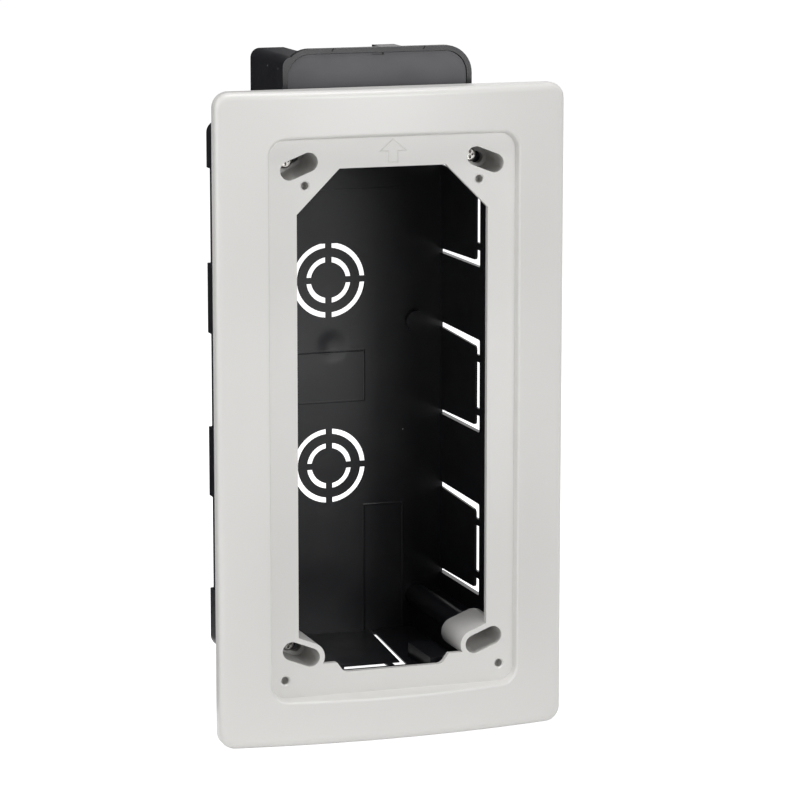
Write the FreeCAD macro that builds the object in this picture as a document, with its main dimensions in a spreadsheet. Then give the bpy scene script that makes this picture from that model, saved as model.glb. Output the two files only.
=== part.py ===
import FreeCAD, Part
import math
import os
import re
import Sketcher

# Flush back box for an upright socket: a black moulded box that is plastered into a wall, a bowed
# light grey cover frame that is screwed to its four columns, and a small lid on the chamber above.
# The origin is on the rear face of the box, level with the middle of the four frame screws.
# X is to the right, the open front looks towards -Y, and Z is up. All sizes are millimetres.

SIZES = [
    ("box_width", 105.8, "outside of the two side walls"),
    ("box_height", 226.4, "outside of the top and bottom walls"),
    ("box_depth", 81.0, "rear face to rim"),
    ("box_wall", 2.4, "walls and back of the box"),
    ("box_corner", 5.0, "outer corner radius of the box"),
    ("body_drop", 3.2, "box centre below the origin"),
    ("frame_drop", 3.6, "frame centre below the origin"),
    ("membrane", 1.0, "wall left at a knock-out"),
    ("side_pitch", 70.2, "between knock-outs of a side wall"),
    ("side_height", 40.4, "knock-out zone of a side wall, upright"),
    ("side_reach", 52.0, "rear face to the front end of a side knock-out"),
    ("side_front_gap", 5.4, "slot at the front end of a side knock-out"),
    ("side_rear_gap", 2.4, "slot along a side knock-out, at the rear"),
    ("side_wide_gap", 3.3, "slot along a side knock-out, at the front"),
    ("side_low_gap", 1.9, "lower slot along a side knock-out, at the rear"),
    ("side_low_wide_gap", 2.5, "lower slot along a side knock-out, at the front"),
    ("side_taper", 0.8, "narrowing of a side knock-out towards the front, upper edge"),
    ("side_low_taper", 0.2, "narrowing of a side knock-out towards the front, lower edge"),
    ("side_flap_corner", 1.8, "corner radius of a side knock-out's flap"),
    ("bridge", 3.0, "bridge that holds a knock-out"),
    ("side_bridge", 11.4, "bridge centre from the middle of a side knock-out"),
    ("ring_pitch", 80.6, "between the two round knock-outs of the back"),
    ("ring_outer", 32.4, "large conduit knock-out"),
    ("ring_inner", 20.0, "small conduit knock-out"),
    ("ring_gap", 2.3, "slot of a round knock-out"),
    ("ring_bridge", 2.6, "bridge across a ring slot"),
    ("ring_land", 2.0, "thinned back beyond a round knock-out"),
    ("floor_rear", 3.2, "rear face to the rear end of the floor knock-out"),
    ("floor_reach", 65.0, "rear face to the front end of the floor knock-out"),
    ("floor_rear_width", 37.8, "floor knock-out at the rear"),
    ("floor_front_width", 27.6, "floor knock-out at the front"),
    ("floor_gap", 1.2, "slot along the floor knock-out"),
    ("floor_membrane", 0.6, "wall left at the floor knock-out"),
    ("floor_front_gap", 5.6, "slot at the front of the floor knock-out"),
    ("floor_bridge_place", 7.2, "bridge of the floor knock-out, from the middle"),
    ("screw_pitch_x", 79.0, "between frame screws, across"),
    ("screw_pitch_z", 200.0, "between frame screws, upright"),
    ("column_width", 10.0, "diameter of a screw column"),
    ("column_web", 3.0, "rib between a column and a wall"),
    ("screw_size", 3.5, "shank of a frame screw"),
    ("screw_length", 20.0, "shank length"),
    ("screw_head", 5.8, "head diameter"),
    ("screw_head_height", 2.2, "head height"),
    ("screw_clearance", 0.1, "between shank and column bore, on the diameter"),
    ("bore_depth", 24.0, "screw bore in a column"),
    ("boss_width", 9.0, "locating boss on the back wall"),
    ("boss_height", 3.0, "locating boss above the back wall"),
    ("boss_x", 38.6, "locating boss to the right"),
    ("boss_z", 21.1, "locating boss above the origin"),
    ("relief", 0.4, "raised fields on the back wall"),
    ("label_right", 31.1, "half width of the upper raised field"),
    ("label_low", 56.1, "lower edge of the upper raised field"),
    ("label_high", 79.1, "upper edge of the upper raised field"),
    ("pad_half", 15.7, "half width of the middle raised field"),
    ("pad_low", 12.4, "middle raised field below the origin"),
    ("pad_high", 9.4, "middle raised field above the origin"),
    ("step_left", 15.5, "left edge of the lower raised field"),
    ("step_right", 33.1, "right edge of the lower raised field"),
    ("step_top", 58.4, "top of the lower raised field below the origin"),
    ("foot_place", 18.8, "guide blocks on the floor, from the middle"),
    ("foot_width", 9.6, "width of a guide block"),
    ("foot_rear", 52.5, "rear face to the rear of a guide block"),
    ("foot_height", 6.2, "guide block above the floor"),
    ("chamber_width", 80.6, "outside of the chamber"),
    ("chamber_top", 142.0, "top of the chamber above the origin"),
    ("chamber_rear", 23.5, "rear face to the rear of the chamber"),
    ("chamber_front", 69.5, "rear face to the front rim of the chamber"),
    ("chamber_wall", 2.0, "walls of the chamber"),
    ("chamber_corner", 4.0, "upper left corner radius of the chamber"),
    ("chamber_low_corner", 7.5, "upper right corner radius of the chamber"),
    ("chamber_sink", 2.4, "lowered fields in the chamber's top wall"),
    ("field_left", 26.0, "lowered field starts this far left of the middle"),
    ("field_right", 12.5, "lowered field ends this far right of the middle"),
    ("tab_width", 9.7, "raised strip between the lowered fields"),
    ("rim_top", 145.0, "top of the chamber's front rim above the origin"),
    ("rim_depth", 3.0, "depth of the chamber's front rim"),
    ("rim_corner", 11.5, "corner radius of the chamber's front rim"),
    ("rim_width", 2.1, "rim around the lid"),
    ("lid_thickness", 2.0, "chamber lid"),
    ("lid_inset", 0.6, "lid behind the rim"),
    ("lid_clearance", 0.2, "gap around the lid"),
    ("lid_shelf", 1.4, "shelf that the lid rests on"),
    ("lid_foot", 2.2, "bottom of the lid above the top of the box"),
    ("prise_width", 5.2, "slot for prising the lid out"),
    ("prise_height", 0.9, "height of that slot"),
    ("notch_place", 19.5, "notches in the chamber's rim, from the middle"),
    ("notch_width", 3.2, "notch across the rim"),
    ("notch_depth", 0.6, "depth of a notch"),
    ("passage_width", 50.0, "cable passage between chamber and box"),
    ("passage_depth", 24.0, "cable passage, front to rear"),
    ("rim_setback", 1.5, "rim of the box behind the wall's surface"),
    ("frame_width", 148.0, "cover frame, across"),
    ("frame_height", 268.0, "cover frame, upright"),
    ("frame_corner", 6.5, "corner radius of the frame"),
    ("frame_edge", 6.0, "height of the frame's sides from the wall"),
    ("frame_bow", 7.0, "bow of the frame's front"),
    ("frame_round", 3.0, "rounding along the frame's front edge"),
    ("frame_wall", 2.4, "wall of the frame"),
    ("panel_stand", 6.0, "front of the panel from the wall"),
    ("panel_width", 104.6, "sunk panel, across"),
    ("panel_height", 228.4, "sunk panel, upright"),
    ("panel_corner", 6.5, "corner radius of the panel"),
    ("panel_thickness", 2.5, "sunk panel"),
    ("panel_flare", 12.0, "slope of the panel's border, degrees"),
    ("panel_round", 1.0, "rounding along the border of the sunk panel"),
    ("window_width", 81.2, "opening in the panel, across"),
    ("window_top", 98.6, "top of the opening above the origin"),
    ("window_chamfer", 18.0, "cut corners at the top of the opening"),
    ("window_shoulder", 104.6, "shoulders of the opening below the origin"),
    ("window_bottom", 108.8, "bottom of the opening below the origin"),
    ("notch_top_width", 48.4, "lower part of the opening at the shoulders"),
    ("notch_low_width", 42.4, "lower part of the opening at the bottom"),
    ("notch_round", 3.2, "rounding at the bottom of the lower part"),
    ("notch_tip", 0.8, "rounding at the shoulders of the lower part"),
    ("slot_width", 7.8, "slot for a frame screw"),
    ("slot_travel", 8.6, "travel in a slot for a frame screw"),
    ("tube_wall", 2.1, "wall of the tube behind a slot"),
    ("tube_length", 24.5, "panel front to the seat on a column"),
    ("ledge", 3.5, "ledge under the screw head"),
    ("ledge_gap", 4.7, "width of the hole in the ledge"),
    ("pilot_size", 3.2, "pilot hole for the socket's screws"),
    ("pilot_mouth", 4.4, "mouth of a pilot hole"),
    ("pilot_bevel", 0.6, "depth of that mouth"),
    ("pilot_depth", 5.6, "depth of a pilot hole"),
    ("pilot_boss", 7.4, "boss around a pilot hole"),
    ("pilot_boss_length", 7.0, "panel front to the end of that boss"),
    ("upper_pitch", 74.0, "between the upper pilot holes"),
    ("upper_place", 92.1, "upper pilot holes above the origin"),
    ("lower_pitch", 92.6, "between the lower pilot holes"),
    ("lower_place", 110.6, "lower pilot holes below the origin"),
]

# Places that several pieces share, as formulas of the sizes.
SIDE = "box_width / 2"
INNER_SIDE = "box_width / 2 - box_wall"
BODY_TOP = "box_height / 2 - body_drop"
BODY_BOTTOM = "-box_height / 2 - body_drop"
FLOOR = "-box_height / 2 - body_drop + box_wall"
CEILING = "box_height / 2 - body_drop - box_wall"
WALL_PLANE = "box_depth + rim_setback"
PANEL_FRONT = "box_depth + rim_setback + panel_stand"
COLUMN_FRONT = "box_depth + rim_setback + panel_stand - tube_length"
SCREW_X = "screw_pitch_x / 2"
SCREW_Z = "screw_pitch_z / 2"
CORNERS = [
    ("top_left", -1, 1),
    ("top_right", 1, 1),
    ("bottom_left", -1, -1),
    ("bottom_right", 1, -1),
]
NAMES = {alias for alias, value, meaning in SIZES}

doc = FreeCAD.newDocument("flush_back_box")
sheet = doc.addObject("Spreadsheet::Sheet", "sizes")
for row, (alias, value, meaning) in enumerate(SIZES, start=1):
    sheet.set("A%d" % row, str(value))
    sheet.set("B%d" % row, meaning)
    sheet.setAlias("A%d" % row, alias)
doc.recompute()


# Formulas and bindings

def formula(text):
    """The text with each size's name pointed at the sheet."""
    def cell(match):
        word = match.group(0)
        return "sizes." + word if word in NAMES else word
    return re.sub(r"[a-z_]+", cell, text)


def number(text):
    """The present value of a formula."""
    value = sheet.evalExpression(formula(text))
    return float(getattr(value, "Value", value))


def signed(sign, text):
    return "(%s)" % text if sign > 0 else "-(%s)" % text


def bind(item, prop, text):
    item.setExpression(prop, formula(text))


# Sketches: every point is tied to the sketch's origin by formulas

def tie(sketch, geometry, end, x, y):
    for kind, text in (("DistanceX", x), ("DistanceY", y)):
        index = sketch.addConstraint(Sketcher.Constraint(kind, -1, 1, geometry, end, number(text)))
        bind(sketch, "Constraints[%d]" % index, text)


def tie_radius(sketch, geometry, text):
    index = sketch.addConstraint(Sketcher.Constraint("Radius", geometry, number(text)))
    bind(sketch, "Constraints[%d]" % index, text)


def circle(sketch, x, y, radius):
    centre = FreeCAD.Vector(number(x), number(y), 0)
    ring = Part.Circle(centre, FreeCAD.Vector(0, 0, 1), number(radius))
    geometry = sketch.addGeometry(ring, False)
    tie(sketch, geometry, 3, x, y)
    tie_radius(sketch, geometry, radius)


def add_arc(sketch, centre, radius, first, last):
    start = math.atan2(first.y - centre.y, first.x - centre.x)
    end = math.atan2(last.y - centre.y, last.x - centre.x)
    if end <= start:
        end += 2 * math.pi
    whole = Part.Circle(centre, FreeCAD.Vector(0, 0, 1), radius)
    return sketch.addGeometry(Part.ArcOfCircle(whole, start, end), False)


def outline(sketch, corners):
    """A closed outline through (x, y, radius) corners; a radius of "0" leaves a corner sharp."""
    count = len(corners)
    points = [FreeCAD.Vector(number(x), number(y), 0) for x, y, radius in corners]
    radii = [number(radius) for x, y, radius in corners]
    entries, exits, turns = [], [], []
    for index, point in enumerate(points):
        back = (points[index - 1] - point).normalize()
        ahead = (points[(index + 1) % count] - point).normalize()
        reach = radii[index] / math.tan(back.getAngle(ahead) / 2)
        entries.append(point + back * reach)
        exits.append(point + ahead * reach)
        turns.append(ahead.cross(back).z)
    lines = []
    for index in range(count):
        edge = Part.LineSegment(exits[index], entries[(index + 1) % count])
        lines.append(sketch.addGeometry(edge, False))
    for index, (x, y, radius) in enumerate(corners):
        before, after = lines[index - 1], lines[index]
        if radii[index] == 0:
            sketch.addConstraint(Sketcher.Constraint("Coincident", before, 2, after, 1))
            tie(sketch, after, 1, x, y)
            continue
        first, last = entries[index], exits[index]
        inward = ((first + last) * 0.5 - points[index]).normalize()
        spread = (points[index - 1] - points[index]).getAngle(inward)
        centre = points[index] + inward * (radii[index] / math.sin(spread))
        if turns[index] > 0:
            arc = add_arc(sketch, centre, radii[index], first, last)
            near, far = 1, 2
        else:
            arc = add_arc(sketch, centre, radii[index], last, first)
            near, far = 2, 1
        sketch.addConstraint(Sketcher.Constraint("Tangent", before, 2, arc, near))
        sketch.addConstraint(Sketcher.Constraint("Tangent", after, 1, arc, far))
        tie_radius(sketch, arc, radius)
        corner = sketch.addGeometry(Part.Point(points[index]), True)
        tie(sketch, corner, 1, x, y)
        sketch.addConstraint(Sketcher.Constraint("PointOnObject", corner, 1, before))
        sketch.addConstraint(Sketcher.Constraint("PointOnObject", corner, 1, after))


def rectangle(sketch, left, right, low, high, radius="0"):
    outline(sketch, [(left, low, radius), (right, low, radius), (right, high, radius), (left, high, radius)])


def stadium(sketch, x, y, travel, radius, tilt):
    """A slot with round ends: two arc centres, half the travel each side of (x, y), along tilt."""
    ends = []
    for sign in (1, -1):
        ends.append((
            "%s + %s" % (x, signed(sign, "%s / 2 * cos(%s)" % (travel, tilt))),
            "%s + %s" % (y, signed(sign, "%s / 2 * sin(%s)" % (travel, tilt))),
        ))
    centres = [FreeCAD.Vector(number(a), number(b), 0) for a, b in ends]
    size = number(radius)
    along = (centres[0] - centres[1]).normalize()
    across = FreeCAD.Vector(-along.y, along.x, 0) * size
    first = add_arc(sketch, centres[0], size, centres[0] - across, centres[0] + across)
    second = add_arc(sketch, centres[1], size, centres[1] + across, centres[1] - across)
    upper = sketch.addGeometry(Part.LineSegment(centres[0] + across, centres[1] + across), False)
    lower = sketch.addGeometry(Part.LineSegment(centres[1] - across, centres[0] - across), False)
    for line, start, end in ((upper, (first, 2), (second, 1)), (lower, (second, 2), (first, 1))):
        sketch.addConstraint(Sketcher.Constraint("Tangent", line, 1, start[0], start[1]))
        sketch.addConstraint(Sketcher.Constraint("Tangent", line, 2, end[0], end[1]))
    tie(sketch, first, 3, *ends[0])
    tie(sketch, second, 3, *ends[1])
    tie_radius(sketch, first, radius)


# Features of a body

def new_body(name):
    body = doc.addObject("PartDesign::Body", name)
    body.Label = name
    return body


def sketch_on(body, role, name, offset="0"):
    """A sketch on one of the body's own planes, moved along its normal (-Y for the XZ plane)."""
    plane = next(item for item in body.Origin.OriginFeatures if item.Role == role)
    sketch = body.newObject("Sketcher::SketchObject", name)
    sketch.AttachmentSupport = [(plane, "")]
    sketch.MapMode = "FlatFace"
    bind(sketch, "AttachmentOffset.Base.z", offset)
    return sketch


def extrude(body, kind, sketch, length, name, forward=True, both=False):
    """A pad or pocket of a sketch, along its normal when forward, or to both sides of it."""
    feature = body.newObject("PartDesign::" + kind, name)
    feature.Profile = sketch
    bind(feature, "Length", length)
    feature.SideType = "Symmetric" if both else "One side"
    feature.Reversed = forward if kind == "Pocket" else not forward
    sketch.Visibility = False
    doc.recompute()
    return feature


def pad(body, sketch, length, name, **ways):
    before = body.Shape.Volume if body.Shape and not body.Shape.isNull() else 0.0
    feature = extrude(body, "Pad", sketch, length, name, **ways)
    if body.Shape.Volume <= before:
        raise RuntimeError(name + " added nothing")
    return feature


def pocket(body, sketch, length, name, **ways):
    before = body.Shape.Volume
    feature = extrude(body, "Pocket", sketch, length, name, **ways)
    if body.Shape.Volume >= before:
        raise RuntimeError(name + " cut nothing")
    return feature


def edges_where(feature, test):
    return ["Edge%d" % index for index, edge in enumerate(feature.Shape.Edges, start=1) if test(edge)]


def fillet(body, feature, test, radius, name):
    rounding = body.newObject("PartDesign::Fillet", name)
    rounding.Base = (feature, edges_where(feature, test))
    bind(rounding, "Radius", radius)
    doc.recompute()
    return rounding


# Free sketches, primitives and booleans for the frame; length runs from the front to the rear

def front_sketch(name, depth):
    """A sketch across the front, at a depth given from the rear face of the box."""
    sketch = doc.addObject("Sketcher::SketchObject", name)
    sketch.Placement = FreeCAD.Placement(FreeCAD.Vector(), FreeCAD.Rotation(FreeCAD.Vector(1, 0, 0), 90))
    bind(sketch, "Placement.Base.y", signed(-1, depth))
    return sketch


def prism(name, sketch, length, direction=(0, 1, 0)):
    solid = doc.addObject("Part::Extrusion", name)
    solid.Base = sketch
    solid.DirMode = "Custom"
    solid.Dir = FreeCAD.Vector(*direction)
    solid.Solid = True
    bind(solid, "LengthFwd", length)
    return solid


def rear_axis(item, x, depth, z):
    """Puts a round primitive's axis along +Y, starting at a depth from the rear face."""
    item.Placement = FreeCAD.Placement(FreeCAD.Vector(), FreeCAD.Rotation(FreeCAD.Vector(1, 0, 0), -90))
    bind(item, "Placement.Base.x", x)
    bind(item, "Placement.Base.y", signed(-1, depth))
    bind(item, "Placement.Base.z", z)


def cylinder(name, x, depth, z, diameter, length):
    rod = doc.addObject("Part::Cylinder", name)
    bind(rod, "Radius", "(%s) / 2" % diameter)
    bind(rod, "Height", length)
    rear_axis(rod, x, depth, z)
    return rod


def cone(name, x, depth, z, front, rear, length):
    taper = doc.addObject("Part::Cone", name)
    bind(taper, "Radius1", "(%s) / 2" % front)
    bind(taper, "Radius2", "(%s) / 2" % rear)
    bind(taper, "Height", length)
    rear_axis(taper, x, depth, z)
    return taper


def join(name, items):
    union = doc.addObject("Part::MultiFuse", name)
    union.Shapes = items
    union.Refine = True
    return union


def cut(name, base, tool):
    rest = doc.addObject("Part::Cut", name)
    rest.Base = base
    rest.Tool = tool
    rest.Refine = True
    return rest


# The box

def box_shell(body):
    """Outer block with rounded corners, hollowed from the rim down to the back wall."""
    face = sketch_on(body, "XZ_Plane", "box_outline")
    rectangle(face, signed(-1, SIDE), SIDE, BODY_BOTTOM, BODY_TOP, "box_corner")
    pad(body, face, "box_depth", "box_block")
    hollow = sketch_on(body, "XZ_Plane", "box_hollow", "box_wall")
    inner = "box_corner - box_wall"
    rectangle(hollow, signed(-1, INNER_SIDE), INNER_SIDE, FLOOR, CEILING, inner)
    pocket(body, hollow, "box_depth", "box_interior")


def chamber(body):
    """Cable chamber on the top wall, with lowered fields in its top and a higher rim in front."""
    half = "chamber_width / 2"
    sunk = "chamber_top - chamber_sink"
    walls = sketch_on(body, "XZ_Plane", "chamber_outline", "chamber_rear")
    outline(walls, [
        (signed(-1, half), CEILING, "0"),
        (half, CEILING, "0"),
        (half, sunk, "chamber_low_corner"),
        ("field_right + tab_width", sunk, "0"),
        ("field_right + tab_width", "chamber_top", "0"),
        ("field_right", "chamber_top", "0"),
        ("field_right", sunk, "0"),
        ("-field_left", sunk, "0"),
        ("-field_left", "chamber_top", "0"),
        (signed(-1, half), "chamber_top", "chamber_corner"),
    ])
    pad(body, walls, "chamber_front - chamber_rear", "chamber_block")
    rim = sketch_on(body, "XZ_Plane", "chamber_rim_outline", "chamber_front - rim_depth")
    outline(rim, [
        (signed(-1, half), CEILING, "0"),
        (half, CEILING, "0"),
        (half, "rim_top", "rim_corner"),
        (signed(-1, half), "rim_top", "rim_corner"),
    ])
    pad(body, rim, "rim_depth", "chamber_rim")


def lid_outline(sketch, clearance):
    """Outline of the lid's seat, drawn in by a clearance for the lid itself."""
    half = "chamber_width / 2 - rim_width - " + clearance
    low = BODY_TOP + " + lid_foot + " + clearance
    high = "rim_top - rim_width - " + clearance
    corner = "rim_corner - rim_width"
    outline(sketch, [
        (signed(-1, half), low, "0"),
        (half, low, "0"),
        (half, high, corner),
        (signed(-1, half), high, corner),
    ])


def chamber_hollow(body):
    """Seat for the lid, cavity behind it, and the passage down into the box."""
    seat_depth = "lid_thickness + lid_inset"
    seat = sketch_on(body, "XZ_Plane", "lid_seat_outline", "chamber_front")
    lid_outline(seat, "0")
    pocket(body, seat, seat_depth, "lid_seat", forward=False)
    half = "chamber_width / 2 - chamber_wall - lid_shelf"
    low = BODY_TOP + " + lid_foot + lid_shelf"
    high = "chamber_top - chamber_sink - chamber_wall"
    cavity = sketch_on(body, "XZ_Plane", "chamber_cavity_outline", "chamber_rear + chamber_wall")
    rectangle(cavity, signed(-1, half), half, low, high)
    pocket(body, cavity, "chamber_front - chamber_rear - chamber_wall", "chamber_cavity")
    middle = "(chamber_rear + chamber_front) / 2"
    passage = sketch_on(body, "XY_Plane", "passage_outline", BODY_TOP + " + lid_foot + lid_shelf + membrane")
    rectangle(
        passage, "-passage_width / 2", "passage_width / 2",
        "-(%s) - passage_depth / 2" % middle, "-(%s) + passage_depth / 2" % middle, "box_corner - box_wall",
    )
    pocket(body, passage, "lid_foot + lid_shelf + 2 * membrane + box_wall", "cable_passage", forward=False)
    marks = sketch_on(body, "XZ_Plane", "rim_notch_outline", "chamber_front")
    for sign in (-1, 1):
        outline(marks, [
            ("%s - notch_width / 2" % signed(sign, "notch_place"), "rim_top + membrane", "0"),
            (signed(sign, "notch_place"), "rim_top - rim_width * 0.7", "0"),
            ("%s + notch_width / 2" % signed(sign, "notch_place"), "rim_top + membrane", "0"),
        ])
    pocket(body, marks, "notch_depth", "rim_notches", forward=False)


def side_knock_outs(body):
    """Three hinged knock-outs in each side wall: a thinned zone outside, slots on three sides."""
    zones = sketch_on(body, "XZ_Plane", "side_zones", "side_reach + membrane * 2")
    for step in (-1, 0, 1):
        centre = "side_pitch * %d" % step
        low = centre + " - side_height / 2"
        high = centre + " + side_height / 2"
        rectangle(zones, SIDE + " - box_wall + membrane", SIDE + " + box_wall", low, high)
        left = signed(-1, SIDE + " - box_wall + membrane")
        rectangle(zones, signed(-1, SIDE + " + box_wall"), left, low, high)
    pocket(body, zones, "side_reach + box_wall", "side_zone_cut", forward=False)
    slots = sketch_on(body, "YZ_Plane", "side_slots")
    for step in (-1, 0, 1):
        for side in (-1, 1):
            hinged_corner(slots, "side_pitch * %d" % step, side)
        centre = "side_pitch * %d" % step
        middle = "side_bridge - bridge / 2"
        front = "-side_reach"
        rectangle(slots, front, front + " + side_front_gap", centre + " - (%s)" % middle, centre + " + " + middle)
    pocket(body, slots, "box_width * 2", "side_slot_cut", both=True)


def hinged_corner(sketch, centre, side):
    """The corner of a side knock-out's slot: along the edge, then down the front to a bridge."""
    def level(text):
        return "%s + %s" % (centre, signed(side, text))
    taper, gap, wide_gap = "side_taper", "side_rear_gap", "side_wide_gap"
    if side < 0:
        taper, gap, wide_gap = "side_low_taper", "side_low_gap", "side_low_wide_gap"
    rear = "-box_wall"
    front = "-side_reach"
    edge = "side_height / 2"
    corners = [
        (rear, level(edge), "0"),
        (front, level("%s - %s" % (edge, taper)), "bridge * 0.3"),
        (front, level("side_bridge + bridge / 2"), "0"),
        (front + " + side_front_gap", level("side_bridge + bridge / 2"), "0"),
        (front + " + side_front_gap", level("%s - %s - %s" % (edge, taper, wide_gap)), "side_flap_corner"),
        (rear, level("%s - %s" % (edge, gap)), "0"),
    ]
    outline(sketch, corners)


def back_knock_outs(body):
    """Two round knock-outs of two sizes each: ring slots in a thinned disc, crossed by bridges."""
    places = ["ring_pitch / 2", "-ring_pitch / 2"]
    thinned = sketch_on(body, "XZ_Plane", "ring_zones", "box_wall - membrane")
    for place in places:
        circle(thinned, "0", place, "ring_outer / 2 + ring_land")
    pocket(body, thinned, "box_wall", "ring_zone_cut", forward=False)
    rings = sketch_on(body, "XZ_Plane", "ring_slots", "box_wall + relief")
    for place in places:
        for size in ("ring_outer", "ring_inner"):
            circle(rings, "0", place, size + " / 2")
            circle(rings, "0", place, size + " / 2 - ring_gap")
    pocket(body, rings, "box_wall * 2", "ring_slot_cut", forward=False)
    bars = sketch_on(body, "XZ_Plane", "ring_bridges", "box_wall - membrane")
    near = "ring_inner / 2 - ring_gap * 1.5"
    far = "ring_outer / 2 + ring_land / 2"
    half = "ring_bridge / 2"
    for place in places:
        for sign in (-1, 1):
            side = sorted([signed(sign, near), signed(sign, far)], key=number)
            rectangle(bars, side[0], side[1], place + " - " + half, place + " + " + half)
            rectangle(bars, signed(-1, half), half, place + " + " + side[0], place + " + " + side[1])
    pad(body, bars, "membrane", "ring_bridge_bars")


def floor_knock_out(body):
    """One tapered knock-out in the floor, thinned from below, hinged at the rear."""
    zone = sketch_on(body, "XY_Plane", "floor_zone", BODY_BOTTOM + " + box_wall - floor_membrane")
    land = "floor_rear_width / 2 + membrane * 2"
    rectangle(zone, signed(-1, land), land, "-floor_reach - membrane * 2", "-floor_rear + membrane", "box_corner / 2")
    pocket(body, zone, "box_wall", "floor_zone_cut", forward=False)
    slots = sketch_on(body, "XY_Plane", "floor_slots", FLOOR + " + relief")
    front = "-floor_reach"
    rear = "-floor_rear"
    inner = front + " + floor_front_gap"
    wide = "floor_rear_width / 2"
    slim = "floor_front_width / 2"
    place = "floor_bridge_place"
    outline(slots, [
        (wide, rear, "0"),
        (wide + " - floor_gap", rear, "0"),
        (slim + " - floor_gap", inner, "0"),
        (place + " + bridge / 2", inner, "0"),
        (place + " + bridge / 2", front, "0"),
        (slim, front, "bridge * 0.4"),
    ])
    outline(slots, [
        (place + " - bridge / 2", front, "0"),
        (place + " - bridge / 2", inner, "0"),
        (signed(-1, slim) + " + floor_gap", inner, "0"),
        (signed(-1, wide) + " + floor_gap", rear, "0"),
        (signed(-1, wide), rear, "0"),
        (signed(-1, slim), front, "bridge * 0.4"),
    ])
    pocket(body, slots, "box_wall * 2", "floor_slot_cut", forward=False)


def inner_fields(body):
    """Shallow raised fields and a boss on the back wall, and two guide blocks on the floor at the rim."""
    fields = sketch_on(body, "XZ_Plane", "raised_fields", "box_wall")
    rectangle(fields, "-label_right", "label_right", "label_low", "label_high", "membrane")
    rectangle(fields, "-pad_half", "pad_half", "-pad_low", "pad_high", "membrane * 2")
    rectangle(fields, "step_left", "step_right", FLOOR, "-step_top")
    pad(body, fields, "relief", "raised_field_pads")
    boss = sketch_on(body, "XZ_Plane", "boss_outline", "box_wall")
    circle(boss, "boss_x", "boss_z", "boss_width / 2")
    pad(body, boss, "boss_height", "locating_boss")
    blocks = sketch_on(body, "XZ_Plane", "guide_blocks", "foot_rear")
    for sign in (-1, 1):
        sides = sorted([signed(sign, "foot_place"), signed(sign, "(foot_place + foot_width)")], key=number)
        rectangle(blocks, sides[0], sides[1], FLOOR, FLOOR + " + foot_height")
    pad(body, blocks, "box_depth - foot_rear", "guide_block_pads")


def columns(body):
    """Four columns for the frame screws, tied to the nearest walls by ribs, each with a blind bore."""
    length = COLUMN_FRONT + " - box_wall"
    posts = sketch_on(body, "XZ_Plane", "column_outlines", "box_wall")
    for name, right, up in CORNERS:
        circle(posts, signed(right, SCREW_X), signed(up, SCREW_Z), "column_width / 2")
    pad(body, posts, length, "screw_columns")
    half = "column_web / 2"
    for kind in ("side", "end"):
        ribs = sketch_on(body, "XZ_Plane", kind + "_ribs", "box_wall")
        for name, right, up in CORNERS:
            x = signed(right, SCREW_X)
            z = signed(up, SCREW_Z)
            if kind == "side":
                sides = sorted([x, signed(right, INNER_SIDE)], key=number)
                rectangle(ribs, sides[0], sides[1], z + " - " + half, z + " + " + half)
            else:
                sides = sorted([z, CEILING if up > 0 else FLOOR], key=number)
                rectangle(ribs, x + " - " + half, x + " + " + half, sides[0], sides[1])
        pad(body, ribs, length, kind + "_rib_pads")
    bores = sketch_on(body, "XZ_Plane", "column_bores", COLUMN_FRONT)
    for name, right, up in CORNERS:
        circle(bores, signed(right, SCREW_X), signed(up, SCREW_Z), "(screw_size + screw_clearance) / 2")
    pocket(body, bores, "bore_depth", "screw_bores", forward=False)


def make_box():
    body = new_body("back_box")
    box_shell(body)
    side_knock_outs(body)
    back_knock_outs(body)
    floor_knock_out(body)
    chamber(body)
    chamber_hollow(body)
    inner_fields(body)
    columns(body)
    return body


def make_lid():
    """Flat lid of the chamber, sunk a little behind the rim, with a slot for prising it out."""
    body = new_body("chamber_lid")
    face = sketch_on(body, "XZ_Plane", "lid_face", "chamber_front - lid_inset - lid_thickness")
    lid_outline(face, "lid_clearance")
    plate = pad(body, face, "lid_thickness", "lid_plate")
    slot = sketch_on(body, "XZ_Plane", "prise_slot_outline", "chamber_front - lid_inset")
    high = "rim_top - rim_width - lid_clearance"
    rectangle(slot, "-prise_width / 2", "prise_width / 2", high + " - prise_height", high + " + membrane")
    pocket(body, slot, "lid_thickness / 2", "prise_slot", forward=False)
    return body


# The cover frame

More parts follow.
